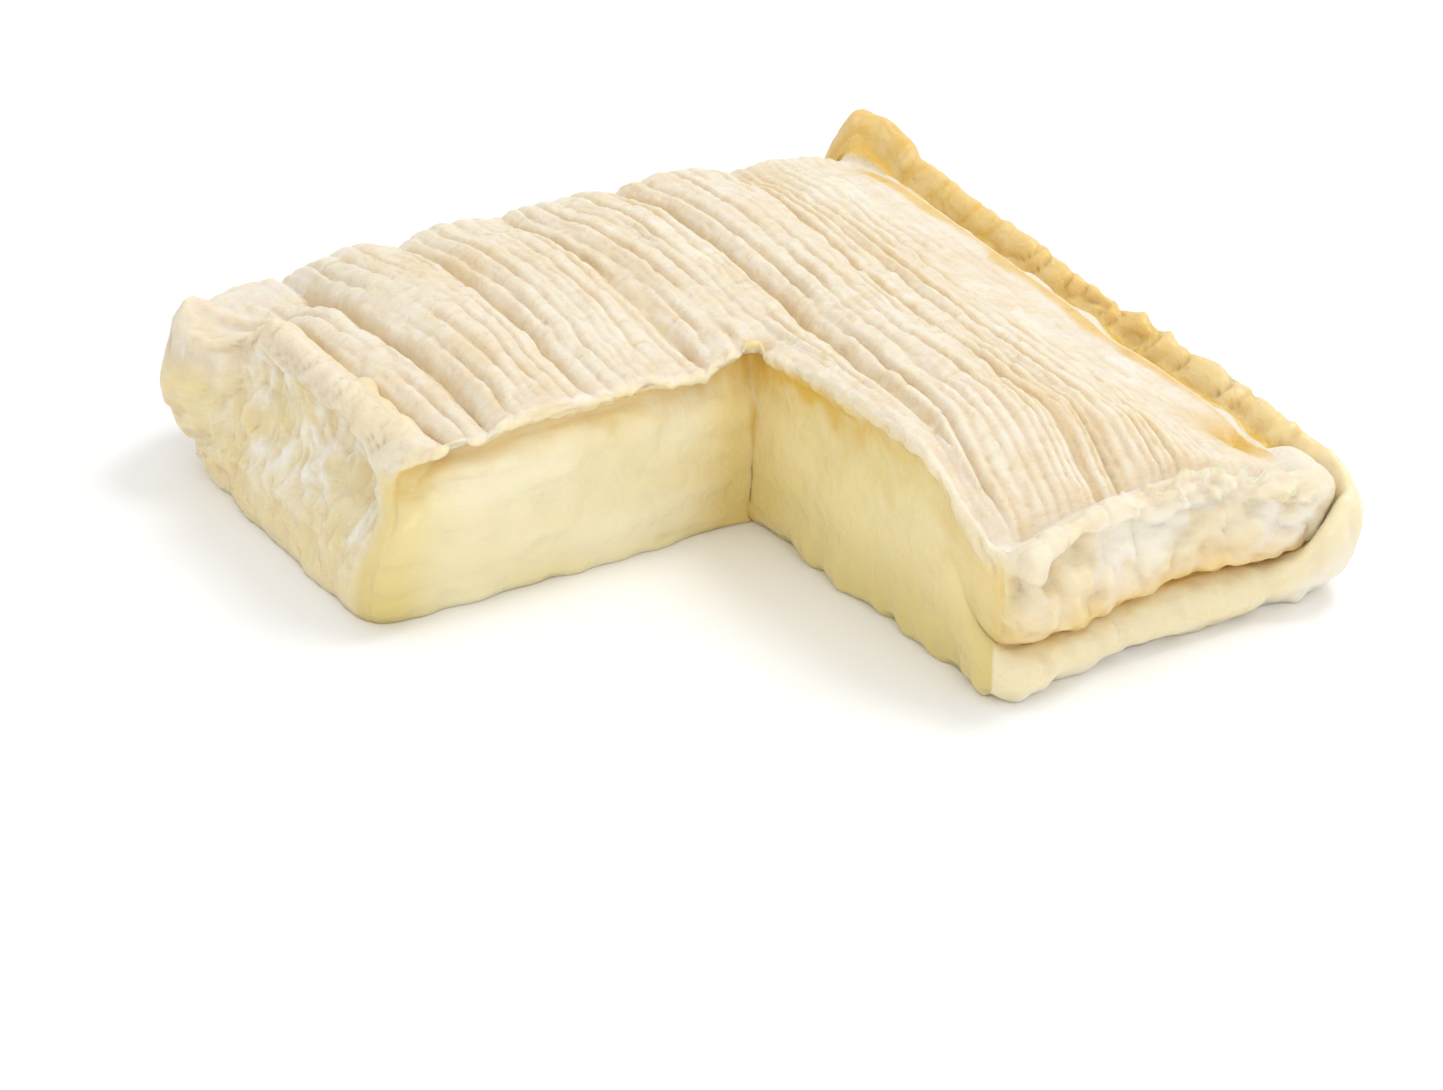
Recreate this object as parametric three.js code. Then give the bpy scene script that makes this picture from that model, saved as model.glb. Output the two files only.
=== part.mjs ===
// A square soft-ripened cheese with one quarter cut out of it, as one solid.
//
// The top is a height surface over a square plan whose front left quarter is missing. It sags
// beside the cut, drops to the front and to the right, and carries folds that run front to back.
// The walls are lofted round the plan from a few profiles: a front wall folded into two lips, a
// rolled rim on the right, a folded back, a hollow left side, and two plain cut faces. The foot
// is flat. Millimetres and +Z up. The shape is worked out from the inner corner of the cut, and
// moved at the end so that the origin is under the middle of the overall size.
import * as THREE from "three";

// Driving dimensions.
const WIDTH = 117; // left to right, over the bulging walls but not over the outer corners' lobes
const DEPTH = 118; // front to back, likewise
const CUT_WIDTH = 59.5; // the part of WIDTH that the missing quarter takes
const CUT_DEPTH = 57; // the part of DEPTH that it takes
const CROWN_HEIGHT = 28.5; // the highest level of the top, before the folds
const FRONT_DROP = 7.5; // how far the top falls to its front edge
const RIGHT_DROP = 7.8; // how far it falls, at mid depth, to the groove beside the rim
const RIGHT_TILT = 0.085; // how much less it falls there for each mm towards the back
const LEFT_DROP = 2.8;
const BACK_DROP = 2;
const CUT_SAG = 3; // how far the rind hangs along the cut that faces the front
const CORNER_SAG = 2.2; // how far it hangs at the inner corner of the cut
const EAR_SAG = 2.2; // how far the top dips before it rises into the ear at the back left corner
const FRONT_BAND = 5.2; // how far each wall stands out from the edge of the top
const RIGHT_BAND = 7.4;
const BACK_BAND = 8;
const LEFT_BAND = 9.6;
const PLAN_RADIUS = 7; // of the outer corners of the top, seen from above
const FOLD_PITCH = 16.3; // between the folds on the top
const FOLD_DEPTH = 1.4;
const FOLD_START = 8.5; // from the inner corner of the cut to the first fold on its right
const FOLD_SLANT = 0.12; // sideways run of the folds on the right half, for each mm of depth

// How finely the surface is divided.
const CELLS_ACROSS = 20; // in half the width
const CELLS_DEEP = 12; // in half the depth
const WALL_ROWS = 20;
const CORNER_REACH = 13; // how far the offset of a sharp corner is felt along its walls

// The edges of the top, from the inner corner of the cut.
const left = CUT_WIDTH - LEFT_BAND;
const right = WIDTH - CUT_WIDTH - RIGHT_BAND;
const front = CUT_DEPTH - FRONT_BAND;
const back = DEPTH - CUT_DEPTH - BACK_BAND;

const ramp = (x, from, to) => THREE.MathUtils.smoothstep(x, from, to);
const hump = (distance, width) => Math.exp(-((distance / width) ** 2));

// The height of the top without its folds. Where the falls to the front and to the right meet,
// a fourth-power sum lets the deeper one win and keeps the corner round.
function smoothTop(x, y) {
  const rightFall = (RIGHT_DROP - RIGHT_TILT * y) * ramp(x, right * 0.35, right);
  const frontFall = FRONT_DROP * ramp(-y, front * 0.68, front * 1.04);
  const leftFall = LEFT_DROP * ramp(-x, left * 0.6, left);
  const backFall = BACK_DROP * ramp(y, back * 0.7, back);
  const cornerSag = CORNER_SAG * hump(Math.hypot(x, y), 14);
  const cutSag = CUT_SAG * hump(y, 13) * ramp(-x, 0, 14);
  const earSag = EAR_SAG * hump(Math.hypot(x + left * 0.94, y - back * 0.94), 8);
  const level = CROWN_HEIGHT - (rightFall ** 4 + frontFall ** 4) ** 0.25;
  return level - leftFall - backFall - cornerSag - cutSag - earSag;
}

// The folds: a raised cosine across the width, sharpened into narrow valleys. They fade out
// towards the rims at the left and right and towards the smooth roll at the front.
function foldDepth(x, y) {
  const across = x - FOLD_START - FOLD_SLANT * y * ramp(x, -10, 8);
  const valley = (0.5 + 0.5 * Math.cos((2 * Math.PI * across) / FOLD_PITCH)) ** 3;
  const inside = ramp(x + left, 0, 6) * ramp(right - x, 0, 6) * ramp(y + front, 0, 6);
  return FOLD_DEPTH * valley * inside;
}

const topHeight = (x, y) => smoothTop(x, y) - foldDepth(x, y);

// Wall profiles, from the edge of the top down to the foot: [outwards in mm, share of the edge's
// height]. All have the same thirteen stations. The seventh is the bottom of the slit between
// the lips, or of the groove beside the rim, so that the two run into each other at the corner.
const TWO_LIPS = [
  [0, 1], [1, 1.03], [2.2, 0.99], [3.1, 0.84], [4.5, 0.62], [4.3, 0.42], [-1.2, 0.3],
  [2.2, 0.275], [4.1, 0.23], [FRONT_BAND, 0.16], [4.9, 0.08], [3.9, 0.02], [2.5, 0],
];
const LIPS_CLOSED = [
  [0, 1], [1.4, 0.96], [2.8, 0.88], [3.5, 0.76], [4, 0.6], [3.8, 0.43], [2.4, 0.31],
  [2.7, 0.28], [3.5, 0.23], [4.1, 0.16], [4, 0.08], [3.3, 0.02], [2.5, 0],
];
const BAND_TURN = [
  [0, 1], [1.4, 1.01], [2.9, 0.98], [4.2, 0.9], [5, 0.76], [4.6, 0.58], [1.4, 0.45],
  [4.9, 0.51], [7.8, 0.76], [10.3, 0.8], [10.6, 0.5], [9.2, 0.16], [6.6, 0],
];
const ROLLED_RIM = [
  [0, 1], [0.4, 0.99], [0.8, 0.975], [1.1, 0.96], [1.4, 0.95], [1.7, 0.935], [2.1, 0.93],
  [3.1, 1], [4.9, 1.055], [RIGHT_BAND, 0.92], [6.3, 0.5], [6.9, 0.12], [5.4, 0],
];
const RIM_KNOB = [
  [0, 1], [0.4, 0.99], [0.8, 0.975], [1.1, 0.965], [1.4, 0.96], [1.7, 0.95], [2.3, 0.97],
  [4, 1.07], [7, 1.21], [10, 1.1], [10.2, 0.66], [9, 0.2], [7, 0],
];
const FOLDED_BACK = [
  [0, 1], [1.5, 0.99], [3.2, 0.95], [5, 0.86], [6.6, 0.7], [BACK_BAND, 0.44], [3.4, 0.26],
  [5.2, 0.23], [6.2, 0.18], [6.5, 0.12], [6.2, 0.06], [5.4, 0.015], [4, 0],
];
const EAR = [
  [0, 1], [3, 1], [6.4, 1.06], [10, 1.1], [12.8, 0.96], [13.2, 0.68], [9.6, 0.42],
  [10, 0.36], [10.1, 0.28], [9.8, 0.19], [9.2, 0.1], [8.2, 0.03], [7, 0],
];
const SADDLE = [
  [0, 1], [1.3, 0.98], [2.8, 0.95], [4.2, 0.9], [5.2, 0.82], [5.8, 0.72], [6, 0.6],
  [6.3, 0.48], [6.9, 0.36], [7.6, 0.24], [8.2, 0.13], [8, 0.03], [7, 0],
];
const HOLLOW = [
  [0, 1], [1, 1.02], [2.3, 1.02], [3.7, 0.97], [4.1, 0.89], [3.3, 0.8], [2.7, 0.7],
  [3.3, 0.58], [4.9, 0.44], [6.9, 0.3], [8.5, 0.16], [8.8, 0.05], [8, 0],
];
const FLARE = [
  [0, 1], [1.2, 1], [2.6, 0.98], [4.2, 0.93], [5.8, 0.87], [6.8, 0.79], [7.6, 0.69],
  [8.3, 0.58], [9, 0.45], [LEFT_BAND, 0.32], [9.4, 0.18], [9, 0.05], [8, 0],
];
const CUT_FACE = [
  [0, 1], [0.5, 0.98], [0.8, 0.95], [0.8, 0.92], [0.3, 0.88], [0.2, 0.82], [0.5, 0.72],
  [0.9, 0.58], [1, 0.44], [1, 0.3], [0.9, 0.16], [0.6, 0.04], [0.1, 0],
];

// The three walls between the sharp corners, and where each profile stands on them. The way
// round is counted in half sides: 0 is the inner corner of the cut, 1 the front end of its first
// face, 2, 4 and 6 the outer corners, 7 the left end of its second face and 8 the start again.
const WALLS = [
  [[0, CUT_FACE], [1, CUT_FACE]],
  [
    [1, LIPS_CLOSED], [1.12, TWO_LIPS], [1.86, TWO_LIPS], [2, BAND_TURN], [2.14, ROLLED_RIM],
    [3.8, ROLLED_RIM], [4, RIM_KNOB], [4.2, FOLDED_BACK], [5.78, FOLDED_BACK], [6, EAR],
    [6.16, SADDLE], [6.45, HOLLOW], [6.75, HOLLOW], [7, FLARE],
  ],
  [[7, CUT_FACE], [8, CUT_FACE]],
];

// One profile as a smooth curve, sampled at every row. The curve's x is outwards, its y height.
function sampled(profile) {
  const curve = new THREE.SplineCurve(profile.map((point) => new THREE.Vector2(...point)));
  return Array.from({ length: WALL_ROWS + 1 }, (_, row) => curve.getPoint(row / WALL_ROWS));
}
const STATIONS = WALLS.map((wall) => wall.map(([at, profile]) => [at, sampled(profile)]));

// The profile at one place on a wall: its two neighbours, blended.
function profileAt(wall, at) {
  const stations = STATIONS[wall];
  const next = Math.max(1, stations.findIndex(([place]) => place >= at));
  const [fromAt, from] = stations[next - 1];
  const [toAt, to] = stations[next];
  const share = ramp(at, fromAt, toAt);
  return from.map((point, row) => point.clone().lerp(to[row], share));
}

// A point of the top's plan from its place in the square, where u and v run from -1 to 1. Towards
// an outer corner, points draw in along the ray from the middle until the edge follows an arc.
function planPoint(u, v) {
  const size = Math.max(Math.abs(u), Math.abs(v), 1e-9);
  const [p, q] = [Math.abs(u) / size, Math.abs(v) / size];
  const radius = PLAN_RADIUS / right;
  const centre = 1 - radius;
  let drawIn = 1;
  if (Math.min(p, q) > centre) {
    const dot = centre * (p + q);
    const square = p * p + q * q;
    drawIn = (dot + Math.sqrt(dot * dot - square * (2 * centre ** 2 - radius ** 2))) / square;
  }
  const scale = 1 + (drawIn - 1) * size ** 4;
  return new THREE.Vector2(u * scale * (u > 0 ? right : left), v * scale * (v > 0 ? back : front));
}

// The nodes of the plan's grid are [column, row]. The ring is its edge in order, anticlockwise
// from the inner corner of the cut.
const count = (from, to) =>
  Array.from({ length: Math.abs(to - from) }, (_, k) => from + k * Math.sign(to - from));
const ring = [
  ...count(0, -CELLS_DEEP).map((j) => [0, j]),
  ...count(0, CELLS_ACROSS).map((i) => [i, -CELLS_DEEP]),
  ...count(-CELLS_DEEP, CELLS_DEEP).map((j) => [CELLS_ACROSS, j]),
  ...count(CELLS_ACROSS, -CELLS_ACROSS).map((i) => [i, CELLS_DEEP]),
  ...count(CELLS_DEEP, 0).map((j) => [-CELLS_ACROSS, j]),
  ...count(-CELLS_ACROSS, 0).map((i) => [i, 0]),
];
const HALF_SIDES = [
  CELLS_DEEP, CELLS_ACROSS, CELLS_DEEP, CELLS_DEEP,
  CELLS_ACROSS, CELLS_ACROSS, CELLS_DEEP, CELLS_ACROSS,
];
const wayRound = HALF_SIDES.flatMap((cells, side) => count(0, cells).map((k) => side + k / cells));
const edge = ring.map(([i, j]) => planPoint(i / CELLS_ACROSS, j / CELLS_DEEP));

// The sharp corners, as places in the ring. Wall w runs from corner w to the next one.
const CORNERS = [0, CELLS_DEEP, ring.length - CELLS_ACROSS];
const WALL_ENDS = [1, 7, 8];
const wallOf = (k) => CORNERS.findLastIndex((corner) => k >= corner);

// Outwards from a wall at one place in the ring: square to the edge between its neighbours. At
// a sharp corner only the neighbour on the same wall counts.
function outward(k, wall) {
  const starts = k === CORNERS[wall];
  const ends = k === CORNERS[(wall + 1) % 3];
  const before = edge[starts ? k : (k + ring.length - 1) % ring.length];
  const after = edge[ends ? k : (k + 1) % ring.length];
  const run = after.clone().sub(before).normalize();
  return new THREE.Vector2(run.y, -run.x);
}

// At a sharp corner the offsets of both walls add up, row by row.
const cornerOffsets = CORNERS.map((k, wall) => {
  const other = (wall + 2) % 3;
  const ending = profileAt(other, WALL_ENDS[other]);
  return profileAt(wall, wayRound[k]).map((point, row) =>
    outward(k, wall).multiplyScalar(point.x).addScaledVector(outward(k, other), ending[row].x),
  );
});

// One upright line of wall points. Near a sharp corner the points also slide along the wall, by
// a fading share of that corner's offset.
function wallColumn(k) {
  const wall = wallOf(k);
  const square = outward(k, wall);
  const along = new THREE.Vector2(-square.y, square.x);
  const height = topHeight(edge[k].x, edge[k].y);
  const ends = [wall, (wall + 1) % 3];
  return profileAt(wall, wayRound[k]).map((point, row) => {
    const place = edge[k].clone();
    if (CORNERS.includes(k)) place.add(cornerOffsets[wall][row]);
    else place.addScaledVector(square, point.x);
    for (const end of CORNERS.includes(k) ? [] : ends) {
      const share = hump(edge[k].distanceTo(edge[CORNERS[end]]), CORNER_REACH);
      place.addScaledVector(along, share * cornerOffsets[end][row].dot(along));
    }
    return new THREE.Vector3(place.x, place.y, height * point.y);
  });
}

const points = [];
const triangles = [];
const addPoint = (point) => points.push(point) - 1;
const addQuad = (a, b, c, d) => triangles.push(a, b, c, a, c, d);

// The walls, and the first entries of the two maps from a plan node to its point.
const columns = ring.map((_, k) => wallColumn(k).map(addPoint));
const topPoint = new Map(ring.map((node, k) => [String(node), columns[k][0]]));
const footPoint = new Map(ring.map((node, k) => [String(node), columns[k][WALL_ROWS]]));
columns.forEach((column, k) => {
  const next = columns[(k + 1) % columns.length];
  for (const row of count(0, WALL_ROWS))
    addQuad(column[row], column[row + 1], next[row + 1], next[row]);
});

// The top and the foot, over the same cells.
const isMissing = (i, j) => i < 0 && j < 0;
for (const i of count(-CELLS_ACROSS, CELLS_ACROSS))
  for (const j of count(-CELLS_DEEP, CELLS_DEEP)) {
    if (isMissing(i, j)) continue;
    const cell = [[i, j], [i + 1, j], [i + 1, j + 1], [i, j + 1]];
    for (const [ci, cj] of cell) {
      if (topPoint.has(`${ci},${cj}`)) continue;
      const { x, y } = planPoint(ci / CELLS_ACROSS, cj / CELLS_DEEP);
      topPoint.set(`${ci},${cj}`, addPoint(new THREE.Vector3(x, y, topHeight(x, y))));
      footPoint.set(`${ci},${cj}`, addPoint(new THREE.Vector3(x, y, 0)));
    }
    addQuad(...cell.map((node) => topPoint.get(String(node))));
    addQuad(...cell.reverse().map((node) => footPoint.get(String(node))));
  }

const geometry = new THREE.BufferGeometry().setFromPoints(points);
geometry.setIndex(triangles);
geometry.computeVertexNormals();
geometry.computeBoundingBox();
const middle = geometry.boundingBox.getCenter(new THREE.Vector3());
geometry.translate(-middle.x, -middle.y, -geometry.boundingBox.min.z);

const rind = new THREE.MeshStandardMaterial({ color: 0xf0e4c8, roughness: 0.6, metalness: 0 });
const cheese = new THREE.Mesh(geometry, rind);
cheese.name = "cheese";

const part = new THREE.Group();
part.add(cheese);
export default part;
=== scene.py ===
import math

import bpy
import numpy as np
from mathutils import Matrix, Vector


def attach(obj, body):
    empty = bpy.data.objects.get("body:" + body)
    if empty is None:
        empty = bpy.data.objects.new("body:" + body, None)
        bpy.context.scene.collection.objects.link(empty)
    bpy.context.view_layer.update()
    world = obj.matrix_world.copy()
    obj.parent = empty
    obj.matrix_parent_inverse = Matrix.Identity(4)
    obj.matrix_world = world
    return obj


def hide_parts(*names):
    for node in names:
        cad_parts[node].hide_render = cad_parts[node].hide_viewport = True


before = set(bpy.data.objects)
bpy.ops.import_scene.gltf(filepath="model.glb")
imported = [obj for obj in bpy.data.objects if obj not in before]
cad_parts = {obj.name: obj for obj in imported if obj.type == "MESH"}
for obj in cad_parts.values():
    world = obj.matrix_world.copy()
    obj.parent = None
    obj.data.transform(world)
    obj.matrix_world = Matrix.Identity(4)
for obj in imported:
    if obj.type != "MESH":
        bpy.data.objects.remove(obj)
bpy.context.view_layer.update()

bl_info = {
    "name": "Cut square cheese",
    "version": (1, 0, 0),
    "blender": (4, 5, 0),
    "location": "3D View > Sidebar > Cheese",
    "description": "A square soft-ripened cheese with one quarter cut out, on a pale floor",
    "category": "Add Mesh",
}

# Lengths in the shape are millimetres from the inner corner of the cut, +X to the right, +Y to the
# back and +Z up. INNER_CORNER is that corner's place in the frame.
INNER_CORNER = np.array([0.606, -2.467, 0.0])
LEFT, RIGHT, FRONT, BACK = 49.9, 50.1, 51.8, 53.0  # the edges of the top
PLAN_RADIUS = 7.0
CROWN_HEIGHT = 28.5
ACROSS = 150  # cells of the top's grid in half its width, across the ribs
DEEP = 84  # and in half its depth, along them
FOOT_STEP = 6  # the foot's grid is this many times coarser
ROWS = 62  # of the walls, from the top's edge down to the foot
CORNER_REACH = 13.0  # how far from a sharp corner a wall slides to meet its neighbour
FRONT_END_WEAR = (2.6, 34)  # reach and passes of the rounding at the cut's front end
LEFT_END_WEAR = (4.2, 66)  # and at its left end
FRONT_BELLY = 2.4  # how far the front edge stands out beside the cut
BELLY_WIDTH = 11.0
STATIONS = 20  # points in a wall section
# The golden colour at these two depths is painted shade, in the fold with a painted glow of light
# through the paste.
FOLD_DOWN, GROOVE_DOWN = 8.6 / 19, 0.43  # how far down the walls the gold of each is deepest

# The piece's masks: each layer holds three. The crease mask paints shade, the golden mask partly
# paints shade and glow, and the milky mask partly paints sheen.
LAYERS = {"zones": ("paste", "straw", "gold_and_shade"), "marks": ("crease", "mould", "milk_and_sheen")}

# The stage, in metres and degrees. A light is [place, size], and points at the origin.
LIGHTS = {"key": [(0.38, 0.02, 0.68), 0.32], "fill": [(-0.25, -0.75, 0.45), 0.6]}
CAMERA_PLACE = (-0.2194, -0.3410, 0.2161)  # from the inner corner
CAMERA_AZIMUTH, CAMERA_ELEVATION = -32.11, 28.48  # of the camera, seen from what it looks at
FLOOR_HALF, FLOOR_DROP = 4.0, 5e-5  # half its width, and how far it lies below the foot

# The long creases that run front to back: [x at the front, x at mid depth, x at the back, depth].
# The first and last are the edges of the top.
CREASES = np.array([
    [-49.9, -49.9, -49.9, 0.0],
    [-47.5, -47.4, -48.2, 1.4],
    [-39.4, -39.8, -40.6, 1.8],
    [-25.6, -25.0, -23.8, 1.5],
    [-8.2, -8.2, -8.0, 1.3],
    [-1.0, 8.3, 11.0, 1.5],
    [18.4, 22.5, 30.4, 1.3],
    [21.6, 27.2, 34.0, 0.7],
    [50.1, 50.1, 50.1, 0.0],
])
RIBS = np.array([1, 2, 5, 6, 6, 5, 2, 9])  # between one long crease and the next
DOMES = np.array([0.0, 0.5, 1.1, 1.1, 0.9, 1.0, 0.3, 0.9])  # height of the ridge between them


# ---------------------------------------------------------------- shared arithmetic


def ramp(x, start, end):
    """Smooth step: 0 before start, 1 after end, three t squared less two t cubed between."""
    t = np.clip((x - start) / (end - start), 0.0, 1.0)
    return t * t * (3 - 2 * t)


def hump(distance, width):
    """Bell: e to the minus square of distance over width."""
    return np.exp(-((distance / width) ** 2))


def corner_value(cell, seed):
    """A fixed number from -1 to 1 for each whole-number cell, from its mixed-up bits."""
    h = cell[..., 0] * 73856093 ^ cell[..., 1] * 19349663 ^ cell[..., 2] * 83492791 ^ seed * 40503
    h = ((h ^ (h >> 13)) & 0xFFFFFFF) * 1274126177
    h = (h ^ (h >> 16)) & 0xFFFF
    return h / 32767.5 - 1.0


def grain(points, size, seed):
    """Value noise from -1 to 1: the eight corners of each cell, blended by a quintic step.
    size is a cell's size, one number or one for each axis."""
    place = points / np.asarray(size, float)
    cell = np.floor(place).astype(np.int64)
    f = place - cell
    f = f**3 * (f * (f * 6 - 15) + 10)
    total = 0.0
    for corner in np.ndindex(2, 2, 2):
        weight = np.prod(np.where(np.array(corner), f, 1 - f), axis=-1)
        total = total + weight * corner_value(cell + np.array(corner), seed)
    return total


def layered(points, size, seed, layers=3):
    """Noise whose finer layers each have half the size and half the height."""
    total = 0.0
    for layer in range(layers):
        total = total + grain(points, np.asarray(size, float) / 2**layer, seed + layer) / 2**layer
    return total


def fibres(points, size, seed):
    """Ridged noise from 0 to 1: one less the size of the noise, to the fourth power, so that its
    zero lines stand up as a net of thin ridges."""
    return (1 - np.abs(grain(points, size, seed))) ** 4


# ---------------------------------------------------------------- the top


def smooth_top(x, y):
    """The height of the top without creases: the crown, less the falls to each side. The right
    and front falls are joined by a fourth-power sum."""
    right_fall = (7.8 - 0.085 * y) * ramp(x, 17.5, 50)
    front_fall = 7.5 * ramp(-y, 35.2, 53.9)
    height = CROWN_HEIGHT - (right_fall**4 + front_fall**4) ** 0.25
    height = height - 2.8 * ramp(-x, 30, 50) - 2.0 * ramp(y, 37, 53)
    height = height - 2.2 * hump(np.hypot(x, y), 14) - 3.0 * hump(y, 13) * ramp(-x, 0, 14)
    height = height - 3.0 * hump(np.hypot(x + 46.0, y - 49.8), 8)
    height = height - 1.2 * hump(x, BELLY_WIDTH) * ramp(-y, 47, 54)
    left_rim = ramp(-x, 46.5, 49.5)
    height = height + left_rim * (0.9 + 0.5 * np.sin(y / 5.0)) - 1.6 * left_rim * hump(y - 47, 4)
    wide_pit = hump(x - 47.5, 3.2) * hump(y + 41, 4.5)
    return height - 2.2 * wide_pit - 1.0 * hump(x - 48.5, 2.5) * hump(y + 12, 5)


def crease_places(y):
    """Where each long crease crosses a given depth: a parabola through its three places."""
    t = (y / BACK)[..., None]
    front, middle, back = CREASES[:, 0], CREASES[:, 1], CREASES[:, 2]
    return middle + (back - front) / 2 * t + ((back + front) / 2 - middle) * t * t


def rib_place(x, y):
    """Which interval between long creases a point is in, its share across it from 0 to 1, and
    the interval's width."""
    places = crease_places(y)
    widths = np.diff(places, axis=-1)
    shares = np.clip((x[..., None] - places[..., :-1]) / widths, 0, 1)
    interval = np.clip(np.sum(shares >= 1, axis=-1), 0, len(RIBS) - 1)
    share = np.take_along_axis(shares, interval[..., None], -1)[..., 0]
    return interval, share, np.take_along_axis(widths, interval[..., None], -1)[..., 0]


def rib_lines(x, y, interval, share, width, at_cut, calm):
    """The ribs' own height, and the depths of the thin creases between them and of the fine ones
    down their middles. Every crease is a narrow bell whose strength changes along it. A rib is
    flat-topped: one less the cube of the distance from its middle."""
    across = share * RIBS[interval] + 0.3 * grain(np.stack([x, y, x * 0], -1), (4.5, 60, 9), 8)
    across = np.clip(across, 0, RIBS[interval])
    rib_width = width / RIBS[interval]
    nearest = np.round(across)
    name = interval * 16.0 + nearest
    strength = 0.60 + 0.6 * grain(np.stack([name * 3.7, y, name * 0], -1), (1, 11, 1), 5)
    strength = strength * calm * (1 - 0.6 * at_cut) * (1 - 0.25 * ramp(-x, 2, 14))
    within = across - np.floor(across)
    rib = 0.5 * strength * (1 - np.abs(2 * within - 1) ** 3)
    thin = 0.68 * strength * hump(np.abs(across - nearest) * rib_width, 0.40)
    extra = np.clip(0.5 * grain(np.stack([name * 5.1, y, name * 0 + 7], -1), (1, 11, 1), 6), 0, 1)
    extra = (extra + 0.75 * ramp(-y, 22, 40)) * calm * (1 - 0.8 * at_cut)
    fine = 0.42 * extra * hump(np.abs(within - 0.5) * rib_width, 0.4)
    return rib, thin, fine


def long_creases(x, y, interval, share, width, at_cut):
    """The depth of the long creases, each a narrow bell in a wide one, and how near each point
    is to one."""
    to_left, to_right = share * width, (1 - share) * width
    deep = CREASES[interval, 3] * (0.6 * hump(to_left, 0.8) + 0.4 * hump(to_left, 2.6))
    deep = deep + CREASES[interval + 1, 3] * (0.6 * hump(to_right, 0.8) + 0.4 * hump(to_right, 2.6))
    deep = deep * (0.85 + 0.3 * grain(np.stack([x, y, x * 0], -1), (9, 12, 9), 7))
    return deep * (1 - 0.65 * at_cut), hump(np.minimum(to_left, to_right), 1.2)


def top_relief(x, y):
    """Ridges, ribs and creases, as height above the smooth top, and painted shade from 0 to 1,
    by how deep in a crease each point is. A ridge is a half sine to the power 0.7 between two
    long creases.
    Crinkles are a net of thin grooves. The right third is calmer."""
    here = np.stack([x, y, np.zeros_like(x)], -1)
    x = x + 0.55 * grain(here, (5, 10, 5), 3) + 0.17 * grain(here, (2.5, 3.8, 5), 4)
    x = x + 0.07 * grain(here, (1.4, 1.5, 5), 14)
    interval, share, width = rib_place(x, y)
    calm = 1 - 0.7 * ramp(x, 31, 42)
    from_edge = y + FRONT + FRONT_BELLY * hump(x, BELLY_WIDTH)
    shown = ramp(from_edge, 0.6, 2.4) * ramp(x, -50, -47.5) * ramp(-x, -49.5, -46)
    at_cut = hump(np.clip(y, 0, None), 3.0) * (x < 3)
    ridge = DOMES[interval] * np.sin(np.pi * share) ** 0.7 * (1 - 0.5 * at_cut)
    rib, thin, fine = rib_lines(x, y, interval, share, width, at_cut, calm)
    deep, beside = long_creases(x, y, interval, share, width, at_cut)

    puckers = 0.11 * grain(here, (2.3, 1.3, 5), 11) + 0.26 * grain(here, (6, 3.6, 5), 13)
    crinkles = 0.28 * fibres(here, (3.4, 2.2, 5), 15) + 0.13 * fibres(here, (1.7, 1.5, 5), 16)
    relief = ridge + rib - thin - fine - deep + puckers - crinkles * (0.6 + 0.5 * calm)
    behind_roll = 1.1 * hump(from_edge - 1.3, 0.8) * ramp(x, 1, 4)
    # Painted shade: darker deep in the thin, fine and long creases, in the crinkles and in the
    # groove behind the front bead.
    crease_shade = np.clip(1.3 * thin + 1.6 * fine + 0.5 * deep * beside + 1.3 * crinkles, 0, 1)
    return relief * shown - behind_roll, np.clip(crease_shade * shown + 0.35 * behind_roll, 0, 1)


def top_height(x, y):
    """The height of the finished top."""
    return smooth_top(x, y) + top_relief(x, y)[0]


# ---------------------------------------------------------------- the walls

# Wall sections from the top's edge down to the foot, each station [outwards, height].
# The tenth station is the bottom of the fold between the lips or of the groove beside the rim.
LIPS = [
    [0, 20.6], [0.8, 21.4], [2, 21.8], [3.4, 21], [3.7, 19.5], [1.9, 17.9], [3.5, 15.4],
    [4.9, 11.8], [4.7, 8.5], [0.9, 6.7], [1.8, 6.5], [2.9, 6.1], [3.9, 5.4], [4.6, 4.4],
    [4.8, 3.4], [4.7, 2.6], [4.3, 1.8], [3.8, 1.1], [3.1, 0.5], [2.4, 0],
]
CRUMPLED_LIPS = [
    [0, 19.4], [0.9, 20.1], [2, 20.3], [3.1, 19.5], [3.5, 18], [2.7, 16.4], [4.2, 14], [5, 11.3],
    [4.7, 8.6], [1, 7.1], [2, 6.9], [3.1, 6.5], [4.3, 5.7], [5, 4.6], [5.3, 3.5], [5.2, 2.7],
    [4.7, 1.8], [4.1, 1.1], [3.4, 0.5], [2.5, 0],
]
LIPS_END = [
    [0, 19.8], [0.6, 19.9], [1.2, 19.5], [1.6, 18.7], [1.8, 17.4], [1.8, 15.8], [1.9, 13.6],
    [1.9, 11], [1.5, 8.4], [-0.1, 6.7], [0.5, 6.4], [1.2, 6], [1.9, 5.3], [2.4, 4.4], [2.6, 3.5],
    [2.5, 2.7], [2.2, 1.9], [1.7, 1.2], [1.1, 0.5], [0.4, 0],
]
BAND_TURN = [
    [0, 16.8], [1.8, 17.4], [3.6, 17.2], [5.2, 16.2], [6.1, 14.8], [6.5, 13], [6.4, 11],
    [5.8, 9.4], [4.9, 8.5], [3.5, 8.1], [5, 8.5], [6.4, 9.9], [7.3, 12.3], [8.5, 14.4],
    [9.8, 14.3], [10.8, 12.2], [10.8, 9.2], [9.8, 5.6], [8, 2.4], [5.6, 0],
]
RIM = [
    [0, 1], [0.2, 0.99], [0.4, 0.98], [0.6, 0.97], [0.8, 0.96], [0.9, 0.95], [1.0, 0.94],
    [1.2, 0.935], [1.5, 0.93], [2.0, 0.93], [2.5, 0.96], [3.2, 1.02], [4.6, 1.07],
    [6.2, 1.05], [7.2, 0.97], [7.4, 0.85], [6.6, 0.66], [6.4, 0.41], [6.8, 0.15], [5.4, 0],
]
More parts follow.
